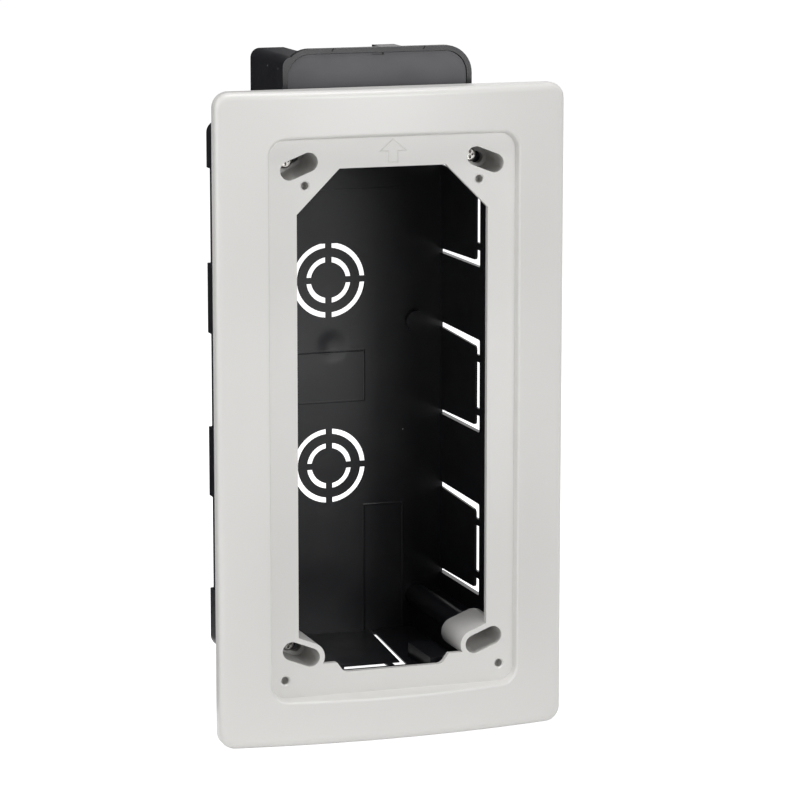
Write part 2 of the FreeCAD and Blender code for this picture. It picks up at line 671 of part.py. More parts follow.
def bow_profile(sketch, inset, rear):
    """Top view of the bowed frame: flat sides, and a front that is one arc; inset gives the inner face."""
    half = "(frame_width / 2 - %s)" % inset
    edge = "-(%s + frame_edge - %s)" % (WALL_PLANE, inset)
    crown = "-(%s + frame_edge + frame_bow - %s)" % (WALL_PLANE, inset)
    left_rear = FreeCAD.Vector(-number(half), number(rear), 0)
    left_edge = FreeCAD.Vector(-number(half), number(edge), 0)
    right_edge = FreeCAD.Vector(number(half), number(edge), 0)
    right_rear = FreeCAD.Vector(number(half), number(rear), 0)
    top = FreeCAD.Vector(0, number(crown), 0)
    arc = sketch.addGeometry(Part.Arc(left_edge, top, right_edge), False)
    right = sketch.addGeometry(Part.LineSegment(right_edge, right_rear), False)
    back = sketch.addGeometry(Part.LineSegment(right_rear, left_rear), False)
    left = sketch.addGeometry(Part.LineSegment(left_rear, left_edge), False)
    sketch.addConstraint(Sketcher.Constraint("Coincident", left, 2, arc, 1))
    sketch.addConstraint(Sketcher.Constraint("Coincident", arc, 2, right, 1))
    sketch.addConstraint(Sketcher.Constraint("Coincident", right, 2, back, 1))
    sketch.addConstraint(Sketcher.Constraint("Coincident", back, 2, left, 1))
    tie(sketch, right, 1, half, edge)
    tie(sketch, right, 2, half, rear)
    tie(sketch, left, 2, "-" + half, edge)
    tie(sketch, left, 1, "-" + half, rear)
    peak = sketch.addGeometry(Part.Point(top), True)
    tie(sketch, peak, 1, "0", crown)
    sketch.addConstraint(Sketcher.Constraint("PointOnObject", peak, 1, arc))


def panel_outline(sketch, growth):
    """The sunk panel's rounded outline, grown by a formula on every side."""
    half = "panel_width / 2 + " + growth
    low = "-frame_drop - panel_height / 2 - (%s)" % growth
    high = "-frame_drop + panel_height / 2 + " + growth
    rectangle(sketch, signed(-1, half), half, low, high, "panel_corner + " + growth)


RECESS_RISE = "(frame_edge + frame_bow)"
RECESS_FLARE = RECESS_RISE + " * tan(panel_flare)"


def frame_block():
    """The frame's outer form as a solid: bowed front, rounded corners and edge, sunk panel."""
    body = new_body("frame_block")
    profile = sketch_on(body, "XY_Plane", "frame_profile", "-frame_drop")
    bow_profile(profile, "0", "-(%s)" % WALL_PLANE)
    block = pad(body, profile, "frame_height", "bowed_block", both=True)
    rear = -number(WALL_PLANE)
    top = number("frame_height / 2 - frame_drop")
    bottom = number("-frame_height / 2 - frame_drop")
    def at_corner(edge):
        ends = [vertex.Point for vertex in edge.Vertexes]
        along_y = len(ends) == 2 and abs(ends[0].x - ends[1].x) + abs(ends[0].z - ends[1].z) < 1e-6
        return along_y and abs(ends[0].y - ends[1].y) > 1
    corners = fillet(body, block, at_corner, "frame_corner", "frame_corner_rounds")
    side = number("frame_width / 2")
    def at_front(edge):
        box = edge.BoundBox
        on_border = max(abs(box.XMin), abs(box.XMax)) > side - number("frame_corner") - 0.01
        return on_border and box.YMax < rear - 1 and abs(edge.tangentAt(edge.FirstParameter).y) < 0.5
    rounded = fillet(body, corners, at_front, "frame_round", "frame_edge_round")
    low = sketch_on(body, "XZ_Plane", "recess_floor_outline", PANEL_FRONT)
    panel_outline(low, "0")
    high = sketch_on(body, "XZ_Plane", "recess_mouth_outline", PANEL_FRONT + " + " + RECESS_RISE)
    panel_outline(high, RECESS_FLARE)
    recess = body.newObject("PartDesign::SubtractiveLoft", "panel_recess")
    recess.Profile = low
    recess.Sections = [high]
    recess.Ruled = True
    doc.recompute()
    panel_plane = -number(PANEL_FRONT)
    limit = number("panel_width / 2 + %s" % RECESS_FLARE) + 0.01
    reach = number("panel_height / 2 + %s" % RECESS_FLARE) + 0.01
    centre = number("-frame_drop")
    def at_border(edge):
        box = edge.BoundBox
        inside = max(abs(box.XMin), abs(box.XMax)) < limit
        inside = inside and max(abs(box.ZMin - centre), abs(box.ZMax - centre)) < reach
        return inside and box.YMax < panel_plane - 0.1 and not crosses_panel(edge, panel_plane)
    fillet(body, recess, at_border, "panel_round", "panel_border_round")
    return body


def crosses_panel(edge, panel_plane):
    return any(abs(vertex.Point.y - panel_plane) < 0.01 for vertex in edge.Vertexes)


def frame_cavity():
    """The hollow behind the bowed rim: the inner bow, less the room of the sunk panel and its border."""
    profile = doc.addObject("Sketcher::SketchObject", "cavity_profile")
    bind(profile, "Placement.Base.z", "-frame_drop - frame_height / 2 + frame_wall")
    bow_profile(profile, "frame_wall", "-(%s) + frame_wall" % WALL_PLANE)
    bow = prism("cavity_bow", profile, "frame_height - 2 * frame_wall", (0, 0, 1))
    low = front_sketch("cup_floor_outline", PANEL_FRONT + " - panel_thickness")
    panel_outline(low, "frame_wall")
    high = front_sketch("cup_mouth_outline", PANEL_FRONT + " + " + RECESS_RISE)
    panel_outline(high, "frame_wall + " + RECESS_FLARE)
    cup = doc.addObject("Part::Loft", "cup_room")
    cup.Sections = [low, high]
    cup.Solid = True
    cup.Ruled = True
    return cut("frame_cavity", bow, cup)


def window_outline(sketch):
    """The opening: cut corners above, shoulders and a lower part with eased corners below."""
    half = "window_width / 2"
    eased = half + " - window_chamfer"
    shoulder = "-window_shoulder"
    bottom = "-window_bottom"
    right = [
        ("notch_low_width / 2", bottom, "notch_round"),
        ("notch_top_width / 2", shoulder, "notch_tip"),
        (half, shoulder, "0"),
        (half, "window_top - window_chamfer", "0"),
        (eased, "window_top", "0"),
    ]
    left = [(signed(-1, x), z, radius) for x, z, radius in reversed(right)]
    outline(sketch, right + left)


def slot_tilt(right, up):
    """The slots lie across the line to the middle, so that the frame can be turned level."""
    return "%d * atan(screw_pitch_x / screw_pitch_z)" % (-right * up)


def slot_prism(name, right, up, depth, width, length):
    sketch = front_sketch(name + "_outline", depth)
    stadium(sketch, signed(right, SCREW_X), signed(up, SCREW_Z), "slot_travel", "(%s) / 2" % width, slot_tilt(right, up))
    return prism(name, sketch, length)


def pilot_places():
    for sign in (-1, 1):
        yield "upper_%s" % ("left" if sign < 0 else "right"), signed(sign, "upper_pitch / 2"), "upper_place"
        yield "lower_%s" % ("left" if sign < 0 else "right"), signed(sign, "lower_pitch / 2"), "-lower_place"


def make_frame():
    """Bowed shell with a sunk panel, its opening, four slotted tubes and four pilot bosses."""
    shell = cut("frame_shell", frame_block(), frame_cavity())
    window = front_sketch("window_sketch", PANEL_FRONT + " + panel_thickness")
    window_outline(window)
    opened = cut("frame_opened", shell, prism("window_prism", window, "panel_thickness * 3"))
    added = [opened]
    removed = []
    for name, right, up in CORNERS:
        added.append(slot_prism("tube_" + name, right, up, PANEL_FRONT, "slot_width + 2 * tube_wall", "tube_length"))
        removed.append(slot_prism("slot_" + name, right, up, PANEL_FRONT, "slot_width", "tube_length - ledge"))
        removed.append(slot_prism("ledge_hole_" + name, right, up, PANEL_FRONT, "ledge_gap", "tube_length + ledge"))
    for name, x, z in pilot_places():
        boss_depth = PANEL_FRONT + " - panel_thickness / 2"
        length = "pilot_boss_length - panel_thickness / 2"
        added.append(cylinder("pilot_boss_" + name, x, boss_depth, z, "pilot_boss", length))
        removed.append(cylinder("pilot_" + name, x, PANEL_FRONT, z, "pilot_size", "pilot_depth"))
        removed.append(cone("mouth_" + name, x, PANEL_FRONT, z, "pilot_mouth", "pilot_size", "pilot_bevel"))
    solid = join("frame_joined", added)
    return cut("cover_frame", solid, join("frame_holes", removed))


# The frame screws

def make_screw(name, right, up):
    """Pan-head screw with a cross recess; its head bears on a ledge and its shank enters a column."""
    body = new_body("screw_" + name)
    profile = sketch_on(body, "XY_Plane", "screw_profile_" + name)
    outline(profile, [
        ("0", "-screw_head_height", "0"),
        ("screw_head * 0.36", "-screw_head_height", "0"),
        ("screw_head / 2", "-screw_head_height * 0.6", "0"),
        ("screw_head / 2", "0", "0"),
        ("screw_size / 2", "0", "0"),
        ("screw_size / 2", "screw_length - screw_size / 2", "0"),
        ("screw_size / 8", "screw_length", "0"),
        ("0", "screw_length", "0"),
    ])
    turned = body.newObject("PartDesign::Revolution", "screw_turned_" + name)
    turned.Profile = profile
    turned.ReferenceAxis = (profile, ["V_Axis"])
    turned.Angle = 360
    doc.recompute()
    cross = sketch_on(body, "XZ_Plane", "cross_outline_" + name, "screw_head_height")
    arm = "screw_head * 0.3"
    slim = "screw_head * 0.07"
    outline(cross, [
        (arm, "-" + slim, "0"), (arm, slim, "0"), (slim, slim, "0"), (slim, arm, "0"),
        ("-" + slim, arm, "0"), ("-" + slim, slim, "0"), ("-" + arm, slim, "0"), ("-" + arm, "-" + slim, "0"),
        ("-" + slim, "-" + slim, "0"), ("-" + slim, "-" + arm, "0"), (slim, "-" + arm, "0"), (slim, "-" + slim, "0"),
    ])
    pocket(body, cross, "screw_head_height * 0.6", "cross_recess_" + name, forward=False)
    bind(body, "Placement.Base.x", signed(right, SCREW_X))
    bind(body, "Placement.Base.y", "-(%s) - ledge" % COLUMN_FRONT)
    bind(body, "Placement.Base.z", signed(up, SCREW_Z))
    return body


def check_document():
    for item in doc.Objects:
        if "Invalid" in item.State or "Error" in item.State:
            raise RuntimeError("%s failed: %s" % (item.Name, item.State))


def main():
    pieces = [make_box(), make_frame(), make_lid()]
    for name, right, up in CORNERS:
        pieces.append(make_screw(name, right, up))
    doc.recompute()
    check_document()
    os.makedirs("parts", exist_ok=True)
    for piece in pieces:
        shape = piece.Shape
        if shape.isNull() or not shape.isValid() or len(shape.Solids) != 1:
            raise RuntimeError("%s is not one valid solid" % piece.Label)
    for piece in pieces:
        piece.Shape.exportStep("parts/%s.step" % piece.Label)
        print(piece.Label, round(piece.Shape.Volume), "mm3", len(piece.Shape.Faces), "faces")


main()
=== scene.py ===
"""Looks for a flush back box: moulded plastics, plated screws, small moulding marks and a studio."""

import math

import bmesh
import bpy
from bpy.props import FloatProperty, FloatVectorProperty, PointerProperty
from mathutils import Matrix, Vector


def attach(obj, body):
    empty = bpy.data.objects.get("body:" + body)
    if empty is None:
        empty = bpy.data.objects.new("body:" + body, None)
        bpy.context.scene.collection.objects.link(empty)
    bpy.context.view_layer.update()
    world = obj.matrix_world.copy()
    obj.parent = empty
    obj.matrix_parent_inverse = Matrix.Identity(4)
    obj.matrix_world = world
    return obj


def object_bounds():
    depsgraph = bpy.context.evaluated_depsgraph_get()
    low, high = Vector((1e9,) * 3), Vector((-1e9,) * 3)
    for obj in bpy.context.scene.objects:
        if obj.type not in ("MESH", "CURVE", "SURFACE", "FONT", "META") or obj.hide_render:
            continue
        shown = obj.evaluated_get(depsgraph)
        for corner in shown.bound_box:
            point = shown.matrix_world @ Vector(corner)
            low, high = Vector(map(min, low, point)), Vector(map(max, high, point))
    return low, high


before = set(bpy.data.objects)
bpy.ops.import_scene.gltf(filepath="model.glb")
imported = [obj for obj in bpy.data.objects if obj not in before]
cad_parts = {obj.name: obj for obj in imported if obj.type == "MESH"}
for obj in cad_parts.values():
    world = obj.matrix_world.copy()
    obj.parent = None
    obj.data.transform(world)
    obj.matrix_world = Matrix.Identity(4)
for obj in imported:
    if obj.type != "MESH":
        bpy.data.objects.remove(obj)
CAD_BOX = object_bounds()

bl_info = {
    "name": "Flush Back Box",
    "version": (1, 0, 0),
    "blender": (4, 5, 0),
    "location": "View3D > Sidebar > Back Box",
    "description": "Dresses a flush back box and its cover frame, and sets up a studio around them",
    "category": "Object",
}

MM = 0.001
FLOOR_LEVEL = CAD_BOX[0].z
SCREWS = ("screw_top_left", "screw_top_right", "screw_bottom_left", "screw_bottom_right")

# The sunk panel's plane, and the corners (x, z) in millimetres of the right half of the arrow on it.
PANEL_FRONT = -88.5 * MM
ARROW_RIGHT_HALF = ((0.0, 109.6), (5.5, 104.9), (2.05, 104.9), (2.05, 100.3))

# Marks on the back wall: where the gate was, and each raised field that shows, given by its centre,
# its half sizes and how strongly its lip stands out.
GATE = (1.5 * MM, -2.4 * MM, 12.0 * MM)
GATE_REACH = 0.009
GATE_HEIGHT = -32.0
WALL_FIELDS = (
    ((0.0, -2.8 * MM, -1.5 * MM), (15.7 * MM, 1.5 * MM, 10.9 * MM), 9.0),
    ((24.3 * MM, -2.8 * MM, -90.4 * MM), (8.8 * MM, 1.5 * MM, 32.0 * MM), 5.0),
)
LIP_WIDTH = 0.0006

DUST_COLOUR = (0.1, 0.098, 0.095, 1)
DUST_ROUGHNESS = 0.5
SPECK_COLOUR = (0.3, 0.29, 0.28, 1)
BLACK_IOR = 1.46
BLACK_SPECULAR = 0.4
GREY_IOR = 1.5
MATT_ROUGHNESS = 0.9

# Each lamp aims at the origin: name, place, size and the setting that holds its power.
LAMPS = (
    ("key_light", (0.45, -1.9, 0.42), (0.8, 0.8), "key_power"),
    ("strip_light", (0.5, -1.75, -0.05), (0.2, 1.2), "strip_power"),
    ("side_light", (-1.5, -0.25, 0.3), (0.6, 1.2), "side_power"),
    ("top_light", (0.0, -0.4, 1.6), (1.2, 0.8), "top_power"),
)

# Black cards that only gloss shows: name, place, the way each faces and its size. The first two keep
# the left side dark. The gap between the other two leaves a soft sheen across the back wall.
FLAGS = (
    ("rear_flag", (-0.15, 0.22, 0.11), (-0.32, 0.95, 0.0), (0.5, 0.5)),
    ("low_flag", (-0.21, 0.12, FLOOR_LEVEL + MM), (0.0, 0.0, 1.0), (0.28, 0.3)),
    ("upper_flag", (0.06, -0.22, 0.0525), (0.0, 1.0, 0.0), (0.26, 0.065)),
    ("lower_flag", (0.06, -0.22, -0.143), (0.0, 1.0, 0.0), (0.26, 0.154)),
)
FLAG_SHADE = 0.01
FLAG_HALF_SIZE = 0.5
FLOOR_HALF_SIZE = 6.0
FLOOR_SHADE = 0.8
FLOOR_GLOW = 0.85
SENSOR_WIDTH = 36.0
NEAR_CLIP = 0.05

# A moulded line's section, as shares of its width and height, and the sharpest corner it may mitre.
RIDGE_PROFILE = ((-0.5, 0.0), (0.0, 1.0), (0.5, 0.0))
MITRE_LIMIT = 0.3

# Places of the colour sockets on a Mix node.
MIX_FIRST = 6
MIX_SECOND = 7
MIX_RESULT = 2


# Settings

class FrameFinish(bpy.types.PropertyGroup):
    colour: FloatVectorProperty(
        name="Colour", description="Light grey of the cover frame", subtype="COLOR", size=3,
        min=0, max=1, default=(0.66, 0.652, 0.635),
    )
    roughness: FloatProperty(
        name="Roughness", description="How dull the frame's satin skin is", subtype="FACTOR",
        min=0, max=1, default=0.33,
    )
    grain_size: FloatProperty(
        name="Grain Size", description="Size of the fine eroded grain", unit="LENGTH", default=0.0005,
    )


class BoxFinish(bpy.types.PropertyGroup):
    colour: FloatVectorProperty(
        name="Colour", description="Black of the moulded box", subtype="COLOR", size=3,
        min=0, max=1, default=(0.0082, 0.0084, 0.0108),
    )
    roughness: FloatProperty(
        name="Roughness", description="How dull the black moulding is", subtype="FACTOR",
        min=0, max=1, default=0.34,
    )
    dust: FloatProperty(
        name="Dust", description="Pale dust and specks on the black moulding", subtype="FACTOR",
        min=0, max=1, default=0.06,
    )


# The lid's colour is a grey about ten times lighter than the box's black. It is painted sheen for the
# light the lid's front catches. Its higher roughness is its coarser skin.
class LidFinishAndSheen(bpy.types.PropertyGroup):
    colour: FloatVectorProperty(
        name="Colour", description="Dark grey that the lid's coarser skin shows", subtype="COLOR", size=3,
        min=0, max=1, default=(0.09, 0.089, 0.096),
    )
    roughness: FloatProperty(
        name="Roughness", description="How dull the lid's coarser skin is", subtype="FACTOR",
        min=0, max=1, default=0.5,
    )


class ScrewFinish(bpy.types.PropertyGroup):
    colour: FloatVectorProperty(
        name="Colour", description="Bright plating of the screws", subtype="COLOR", size=3,
        min=0, max=1, default=(0.5, 0.485, 0.46),
    )
    roughness: FloatProperty(
        name="Roughness", description="How dull the plating is", subtype="FACTOR",
        min=0, max=1, default=0.34,
    )


class ArrowSettings(bpy.types.PropertyGroup):
    line: FloatProperty(
        name="Line Width", description="Width of the arrow's moulded line", unit="LENGTH", default=0.0005,
    )
    height: FloatProperty(
        name="Line Height", description="How far the line stands out", unit="LENGTH", default=0.0002,
    )


class StageSettings(bpy.types.PropertyGroup):
    camera_place: FloatVectorProperty(
        name="Camera Place", description="Where the camera stands", subtype="TRANSLATION",
        unit="LENGTH", size=3, default=(-0.4789, -1.5145, 0.2755),
    )
    camera_turn: FloatProperty(
        name="Camera Turn", description="Turn of the camera to the right", subtype="ANGLE",
        default=math.radians(18.67),
    )
    camera_tilt: FloatProperty(
        name="Camera Tilt", description="Tilt of the camera downwards", subtype="ANGLE",
        default=math.radians(10.26),
    )
    lens: FloatProperty(
        name="Lens", description="Focal length on a 36 mm sensor", subtype="DISTANCE_CAMERA",
        default=169.3,
    )
    sky: FloatProperty(
        name="Sky", description="Strength of the even light from all around", min=0, default=0.2,
    )
    key_power: FloatProperty(
        name="Key Light", description="Power of the soft light in front on the right", subtype="POWER",
        min=0, default=11.8,
    )
    strip_power: FloatProperty(
        name="Strip Light", description="Power of the tall narrow light in front", subtype="POWER",
        min=0, default=4.0,
    )
    side_power: FloatProperty(
        name="Side Light", description="Power of the soft light on the left", subtype="POWER",
        min=0, default=11.0,
    )
    top_power: FloatProperty(
        name="Top Light", description="Power of the soft light above", subtype="POWER",
        min=0, default=17.0,
    )


# Node helpers

def feed(tree, socket, value):
    """Links an output to an input socket, or sets the input to a plain value."""
    if isinstance(value, bpy.types.NodeSocket):
        tree.links.new(value, socket)
    else:
        socket.default_value = value


def add_node(tree, kind, **values):
    """A new shader node, its inputs and properties given by name, with _ for a space."""
    node = tree.nodes.new(kind)
    for name, value in values.items():
        label = name.replace("_", " ")
        if label in node.inputs:
            feed(tree, node.inputs[label], value)
        else:
            setattr(node, name, value)
    return node


def calculate(tree, operation, *values):
    """The result of a Math node on up to three values or outputs."""
    node = tree.nodes.new("ShaderNodeMath")
    node.operation = operation
    for socket, value in zip(node.inputs, values):
        feed(tree, socket, value)
    return node.outputs[0]


def calculate_vector(tree, operation, *values):
    """The result of a Vector Math node, which is a number for a distance and a vector otherwise."""
    node = tree.nodes.new("ShaderNodeVectorMath")
    node.operation = operation
    for socket, value in zip(node.inputs, values):
        feed(tree, socket, value)
    return node.outputs["Value" if operation == "DISTANCE" else "Vector"]


def mix_colours(tree, share, first, second):
    blend = add_node(tree, "ShaderNodeMix", data_type="RGBA", Factor=share)
    feed(tree, blend.inputs[MIX_FIRST], first)
    feed(tree, blend.inputs[MIX_SECOND], second)
    return blend.outputs[MIX_RESULT]


def place_on_part(tree):
    return tree.nodes.new("ShaderNodeTexCoord").outputs["Object"]


def bumped(tree, shader, height, strength, distance):
    bump = add_node(tree, "ShaderNodeBump", Strength=strength, Distance=distance, Height=height)
    tree.links.new(bump.outputs["Normal"], shader.inputs["Normal"])


def grey(value):
    return (value, value, value, 1)


def tinted(colour, factor):
    return (colour[0] * factor, colour[1] * factor, colour[2] * factor, 1)


# Shared effects, each built once as a node group

def new_group(name, inputs, outputs):
    """A shader node group whose sockets are given as (name, kind, default) and (name, kind)."""
    tree = bpy.data.node_groups.new(name, "ShaderNodeTree")
    for label, kind, default in inputs:
        socket = tree.interface.new_socket(name=label, in_out="INPUT", socket_type="NodeSocket" + kind)
        socket.default_value = default
    for label, kind in outputs:
        tree.interface.new_socket(name=label, in_out="OUTPUT", socket_type="NodeSocket" + kind)
    return tree, tree.nodes.new("NodeGroupInput").outputs, tree.nodes.new("NodeGroupOutput").inputs


def mottle_group(name):
    """Slow shade variation of a moulding, as a colour and a roughness around given values."""
    tree, given, result = new_group(
        name,
        [
            ("Colour", "Color", (0.5, 0.5, 0.5, 1)), ("Shade", "Color", (0.4, 0.4, 0.4, 1)),
            ("Roughness", "Float", 0.4), ("Roughness Spread", "Float", 0.06), ("Scale", "Float", 30.0),
        ],
        [("Colour", "Color"), ("Roughness", "Float")],
    )
    noise = add_node(
        tree, "ShaderNodeTexNoise", Vector=place_on_part(tree), Scale=given["Scale"],
        Detail=4.0, Roughness=0.6,
    )
    clouds = noise.outputs["Fac"]
    tree.links.new(mix_colours(tree, clouds, given["Colour"], given["Shade"]), result["Colour"])
    centred = calculate(tree, "SUBTRACT", clouds, 0.5)
    rough = calculate(tree, "MULTIPLY_ADD", centred, given["Roughness Spread"], given["Roughness"])
    tree.links.new(rough, result["Roughness"])
    return tree


def grain_group(name):
    """Fine eroded grain and a faint waviness, as a height."""
    tree, given, result = new_group(
        name,
        [("Grain Scale", "Float", 2000.0), ("Grain", "Float", 1.0), ("Waviness", "Float", 1.0)],
        [("Height", "Float")],
    )
    place = place_on_part(tree)
    fine = add_node(
        tree, "ShaderNodeTexNoise", Vector=place, Scale=given["Grain Scale"], Detail=2.0, Roughness=0.5,
    )
    slow = add_node(tree, "ShaderNodeTexNoise", Vector=place, Scale=22.0, Detail=1.0)
    grain = calculate(tree, "MULTIPLY", fine.outputs["Fac"], given["Grain"])
    height = calculate(tree, "MULTIPLY_ADD", slow.outputs["Fac"], given["Waviness"], grain)
    tree.links.new(height, result["Height"])
    return tree


def dust_group(name):
    """Mask of loose dust and small specks, from 0 for clean to 1."""
    tree, given, result = new_group(
        name, [("Amount", "Float", 0.3), ("Scale", "Float", 60.0)], [("Mask", "Float")],
    )
    place = place_on_part(tree)
    patches = add_node(
        tree, "ShaderNodeTexNoise", Vector=place, Scale=given["Scale"], Detail=8.0, Roughness=0.7,
    )
    specks = add_node(tree, "ShaderNodeTexVoronoi", Vector=place, Scale=420.0)
    soft = add_node(
        tree, "ShaderNodeMapRange", Value=patches.outputs["Fac"], From_Min=0.5, From_Max=0.85,
    )
    hard = add_node(
        tree, "ShaderNodeMapRange", Value=specks.outputs["Distance"], From_Min=0.1, From_Max=0.04,
    )
    both = calculate(tree, "MAXIMUM", soft.outputs["Result"], hard.outputs["Result"])
    tree.links.new(calculate(tree, "MULTIPLY", both, given["Amount"]), result["Mask"])
    return tree


def dimple_group(name):
    """Height of a shallow round dimple, as gates leave it in a wall, around a given place."""
    tree, given, result = new_group(
        name,
        [("Place", "Vector", (0, 0, 0)), ("Reach", "Float", 0.01), ("Height", "Float", 1.0)],
        [("Height", "Float")],
    )
    apart = calculate_vector(tree, "DISTANCE", place_on_part(tree), given["Place"])
    fall = add_node(
        tree, "ShaderNodeMapRange", interpolation_type="SMOOTHERSTEP", Value=apart,
        From_Max=given["Reach"], To_Min=given["Height"], To_Max=0.0,
    )
    tree.links.new(fall.outputs["Result"], result["Height"])
    return tree


def edge_lip_group(name):
    """Height of a soft lip around a raised field, given by its centre and its half sizes."""
    tree, given, result = new_group(
        name,
        [
            ("Centre", "Vector", (0, 0, 0)), ("Half", "Vector", (0.01, 0.001, 0.01)),
            ("Width", "Float", 0.0005), ("Height", "Float", 1.0),
        ],
        [("Height", "Float")],
    )
    offset = calculate_vector(tree, "SUBTRACT", place_on_part(tree), given["Centre"])
    size = calculate_vector(tree, "ABSOLUTE", offset)
    beyond = calculate_vector(tree, "SUBTRACT", size, given["Half"])
    parts = add_node(tree, "ShaderNodeSeparateXYZ", Vector=beyond).outputs
    apart = calculate(tree, "ABSOLUTE", calculate(tree, "MAXIMUM", parts["X"], parts["Z"]))
    fall = add_node(
        tree, "ShaderNodeMapRange", interpolation_type="SMOOTHSTEP", Value=apart,
        From_Max=given["Width"], To_Min=given["Height"], To_Max=0.0,
    )
    within = calculate(tree, "LESS_THAN", parts["Y"], 0.0)
    tree.links.new(calculate(tree, "MULTIPLY", fall.outputs["Result"], within), result["Height"])
    return tree


def speck_group(name):
    """Mask of a few bright specks, each in a cell of its own, from 0 for clean to 1."""
    tree, given, result = new_group(
        name,
        [("Scale", "Float", 100.0), ("Size", "Float", 0.05), ("Rarity", "Float", 0.9)],
        [("Mask", "Float")],
    )
    cells = add_node(
        tree, "ShaderNodeTexVoronoi", Vector=place_on_part(tree), Scale=given["Scale"],
    ).outputs
    near = calculate(tree, "LESS_THAN", cells["Distance"], given["Size"])
    chance = add_node(tree, "ShaderNodeSeparateColor", Color=cells["Color"]).outputs["Red"]
    chosen = calculate(tree, "GREATER_THAN", chance, given["Rarity"])
    tree.links.new(calculate(tree, "MULTIPLY", near, chosen), result["Mask"])
    return tree


GROUPS = {
    "moulding_mottle": mottle_group,
    "moulding_grain": grain_group,
    "dust_and_specks": dust_group,
    "gate_dimple": dimple_group,
    "edge_lip": edge_lip_group,
    "bright_specks": speck_group,
}


def use_group(tree, name, **values):
    """Places a shared group in a material, builds it on first use and returns its outputs."""
    node = tree.nodes.new("ShaderNodeGroup")
    node.node_tree = bpy.data.node_groups.get(name) or GROUPS[name](name)
    for label, value in values.items():
        node.inputs[label.replace("_", " ")].default_value = value
    return node.outputs


# Materials

def new_material(name):
    material = bpy.data.materials.new(name)
    material.use_nodes = True
    tree = material.node_tree
    tree.nodes.clear()
    output = tree.nodes.new("ShaderNodeOutputMaterial")
    shader = tree.nodes.new("ShaderNodeBsdfPrincipled")
    tree.links.new(shader.outputs["BSDF"], output.inputs["Surface"])
    return material, tree, shader


def mottled(tree, finish, light, dark, spread, scale):
    """The mottle around a finish, its two shades given as factors of the finish's colour."""
    return use_group(
        tree, "moulding_mottle", Colour=tinted(finish.colour, light), Shade=tinted(finish.colour, dark),
        Roughness=finish.roughness, Roughness_Spread=spread, Scale=scale,
    )


def grey_plastic(finish):
    """Light grey satin moulding with a fine grain."""
    material, tree, shader = new_material("light_grey_moulding")
    skin = mottled(tree, finish, light=1.02, dark=0.965, spread=0.08, scale=18.0)
    grain = use_group(
        tree, "moulding_grain", Grain_Scale=1 / finish.grain_size, Grain=0.5, Waviness=1.0,
    )
    tree.links.new(skin["Colour"], shader.inputs["Base Color"])
    tree.links.new(skin["Roughness"], shader.inputs["Roughness"])
    bumped(tree, shader, grain["Height"], strength=0.25, distance=0.00004)
    shader.inputs["IOR"].default_value = GREY_IOR
    return material


def black_plastic(name, finish, dust_amount):
    """Black semi-gloss moulding with faint dust, a few specks and the marks on the back wall."""
    material, tree, shader = new_material(name)
    skin = mottled(tree, finish, light=1.25, dark=0.75, spread=0.3, scale=28.0)
    dust = use_group(tree, "dust_and_specks", Amount=dust_amount, Scale=70.0)["Mask"]
    specks = use_group(tree, "bright_specks", Scale=150.0, Size=0.05, Rarity=0.95)["Mask"]
    dusty = mix_colours(tree, dust, skin["Colour"], DUST_COLOUR)
    tree.links.new(mix_colours(tree, specks, dusty, SPECK_COLOUR), shader.inputs["Base Color"])
    rough = calculate(tree, "MULTIPLY_ADD", dust, DUST_ROUGHNESS, skin["Roughness"])
    tree.links.new(rough, shader.inputs["Roughness"])
    grain = use_group(tree, "moulding_grain", Grain_Scale=1400.0, Grain=0.6, Waviness=5.0)
    marks = [use_group(tree, "gate_dimple", Place=GATE, Reach=GATE_REACH, Height=GATE_HEIGHT)]
    for centre, half, lip in WALL_FIELDS:
        marks.append(use_group(tree, "edge_lip", Centre=centre, Half=half, Width=LIP_WIDTH, Height=lip))
    height = grain["Height"]
    for mark in marks:
        height = calculate(tree, "ADD", height, mark["Height"])
    bumped(tree, shader, height, strength=0.3, distance=0.00006)
    shader.inputs["IOR"].default_value = BLACK_IOR
    shader.inputs["Specular IOR Level"].default_value = BLACK_SPECULAR
    return material


def plated_steel(finish):
    """Bright plated steel with fine turning marks."""
    material, tree, shader = new_material("bright_plated_steel")
    skin = mottled(tree, finish, light=1.05, dark=0.8, spread=0.3, scale=400.0)
    grain = use_group(tree, "moulding_grain", Grain_Scale=5000.0, Grain=1.0, Waviness=0.0)
    tree.links.new(skin["Colour"], shader.inputs["Base Color"])
    tree.links.new(skin["Roughness"], shader.inputs["Roughness"])
    bumped(tree, shader, grain["Height"], strength=0.3, distance=0.00003)
    shader.inputs["Metallic"].default_value = 1.0
    return material


def matt_shade(name, value):
    material, tree, shader = new_material(name)
    shader.inputs["Base Color"].default_value = grey(value)
    shader.inputs["Roughness"].default_value = MATT_ROUGHNESS
    return material, tree, shader


def white_behind(tree):
    """1 for rays that should see a plain white background: from the camera, in gloss and through glass."""
    path = tree.nodes.new("ShaderNodeLightPath").outputs
    seen_or_glossy = calculate(tree, "MAXIMUM", path["Is Camera Ray"], path["Is Glossy Ray"])
    return calculate(tree, "MAXIMUM", seen_or_glossy, path["Is Transmission Ray"])


# Objects

def paint_node(name, material):
    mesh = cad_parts[name].data
    mesh.materials.clear()
    mesh.materials.append(material)


def add_object(name, work, material):
    """Turns a finished bmesh into an object of that name in the scene."""
    mesh = bpy.data.meshes.new(name)
    work.to_mesh(mesh)
    work.free()
    mesh.materials.append(material)
    item = bpy.data.objects.new(name, mesh)
    bpy.context.collection.objects.link(item)
    return item


def add_piece(name, work, material):
    """Turns a finished bmesh into a named piece that rides on the part."""
    item = add_object(name, work, material)
    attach(item, "root")
    return item


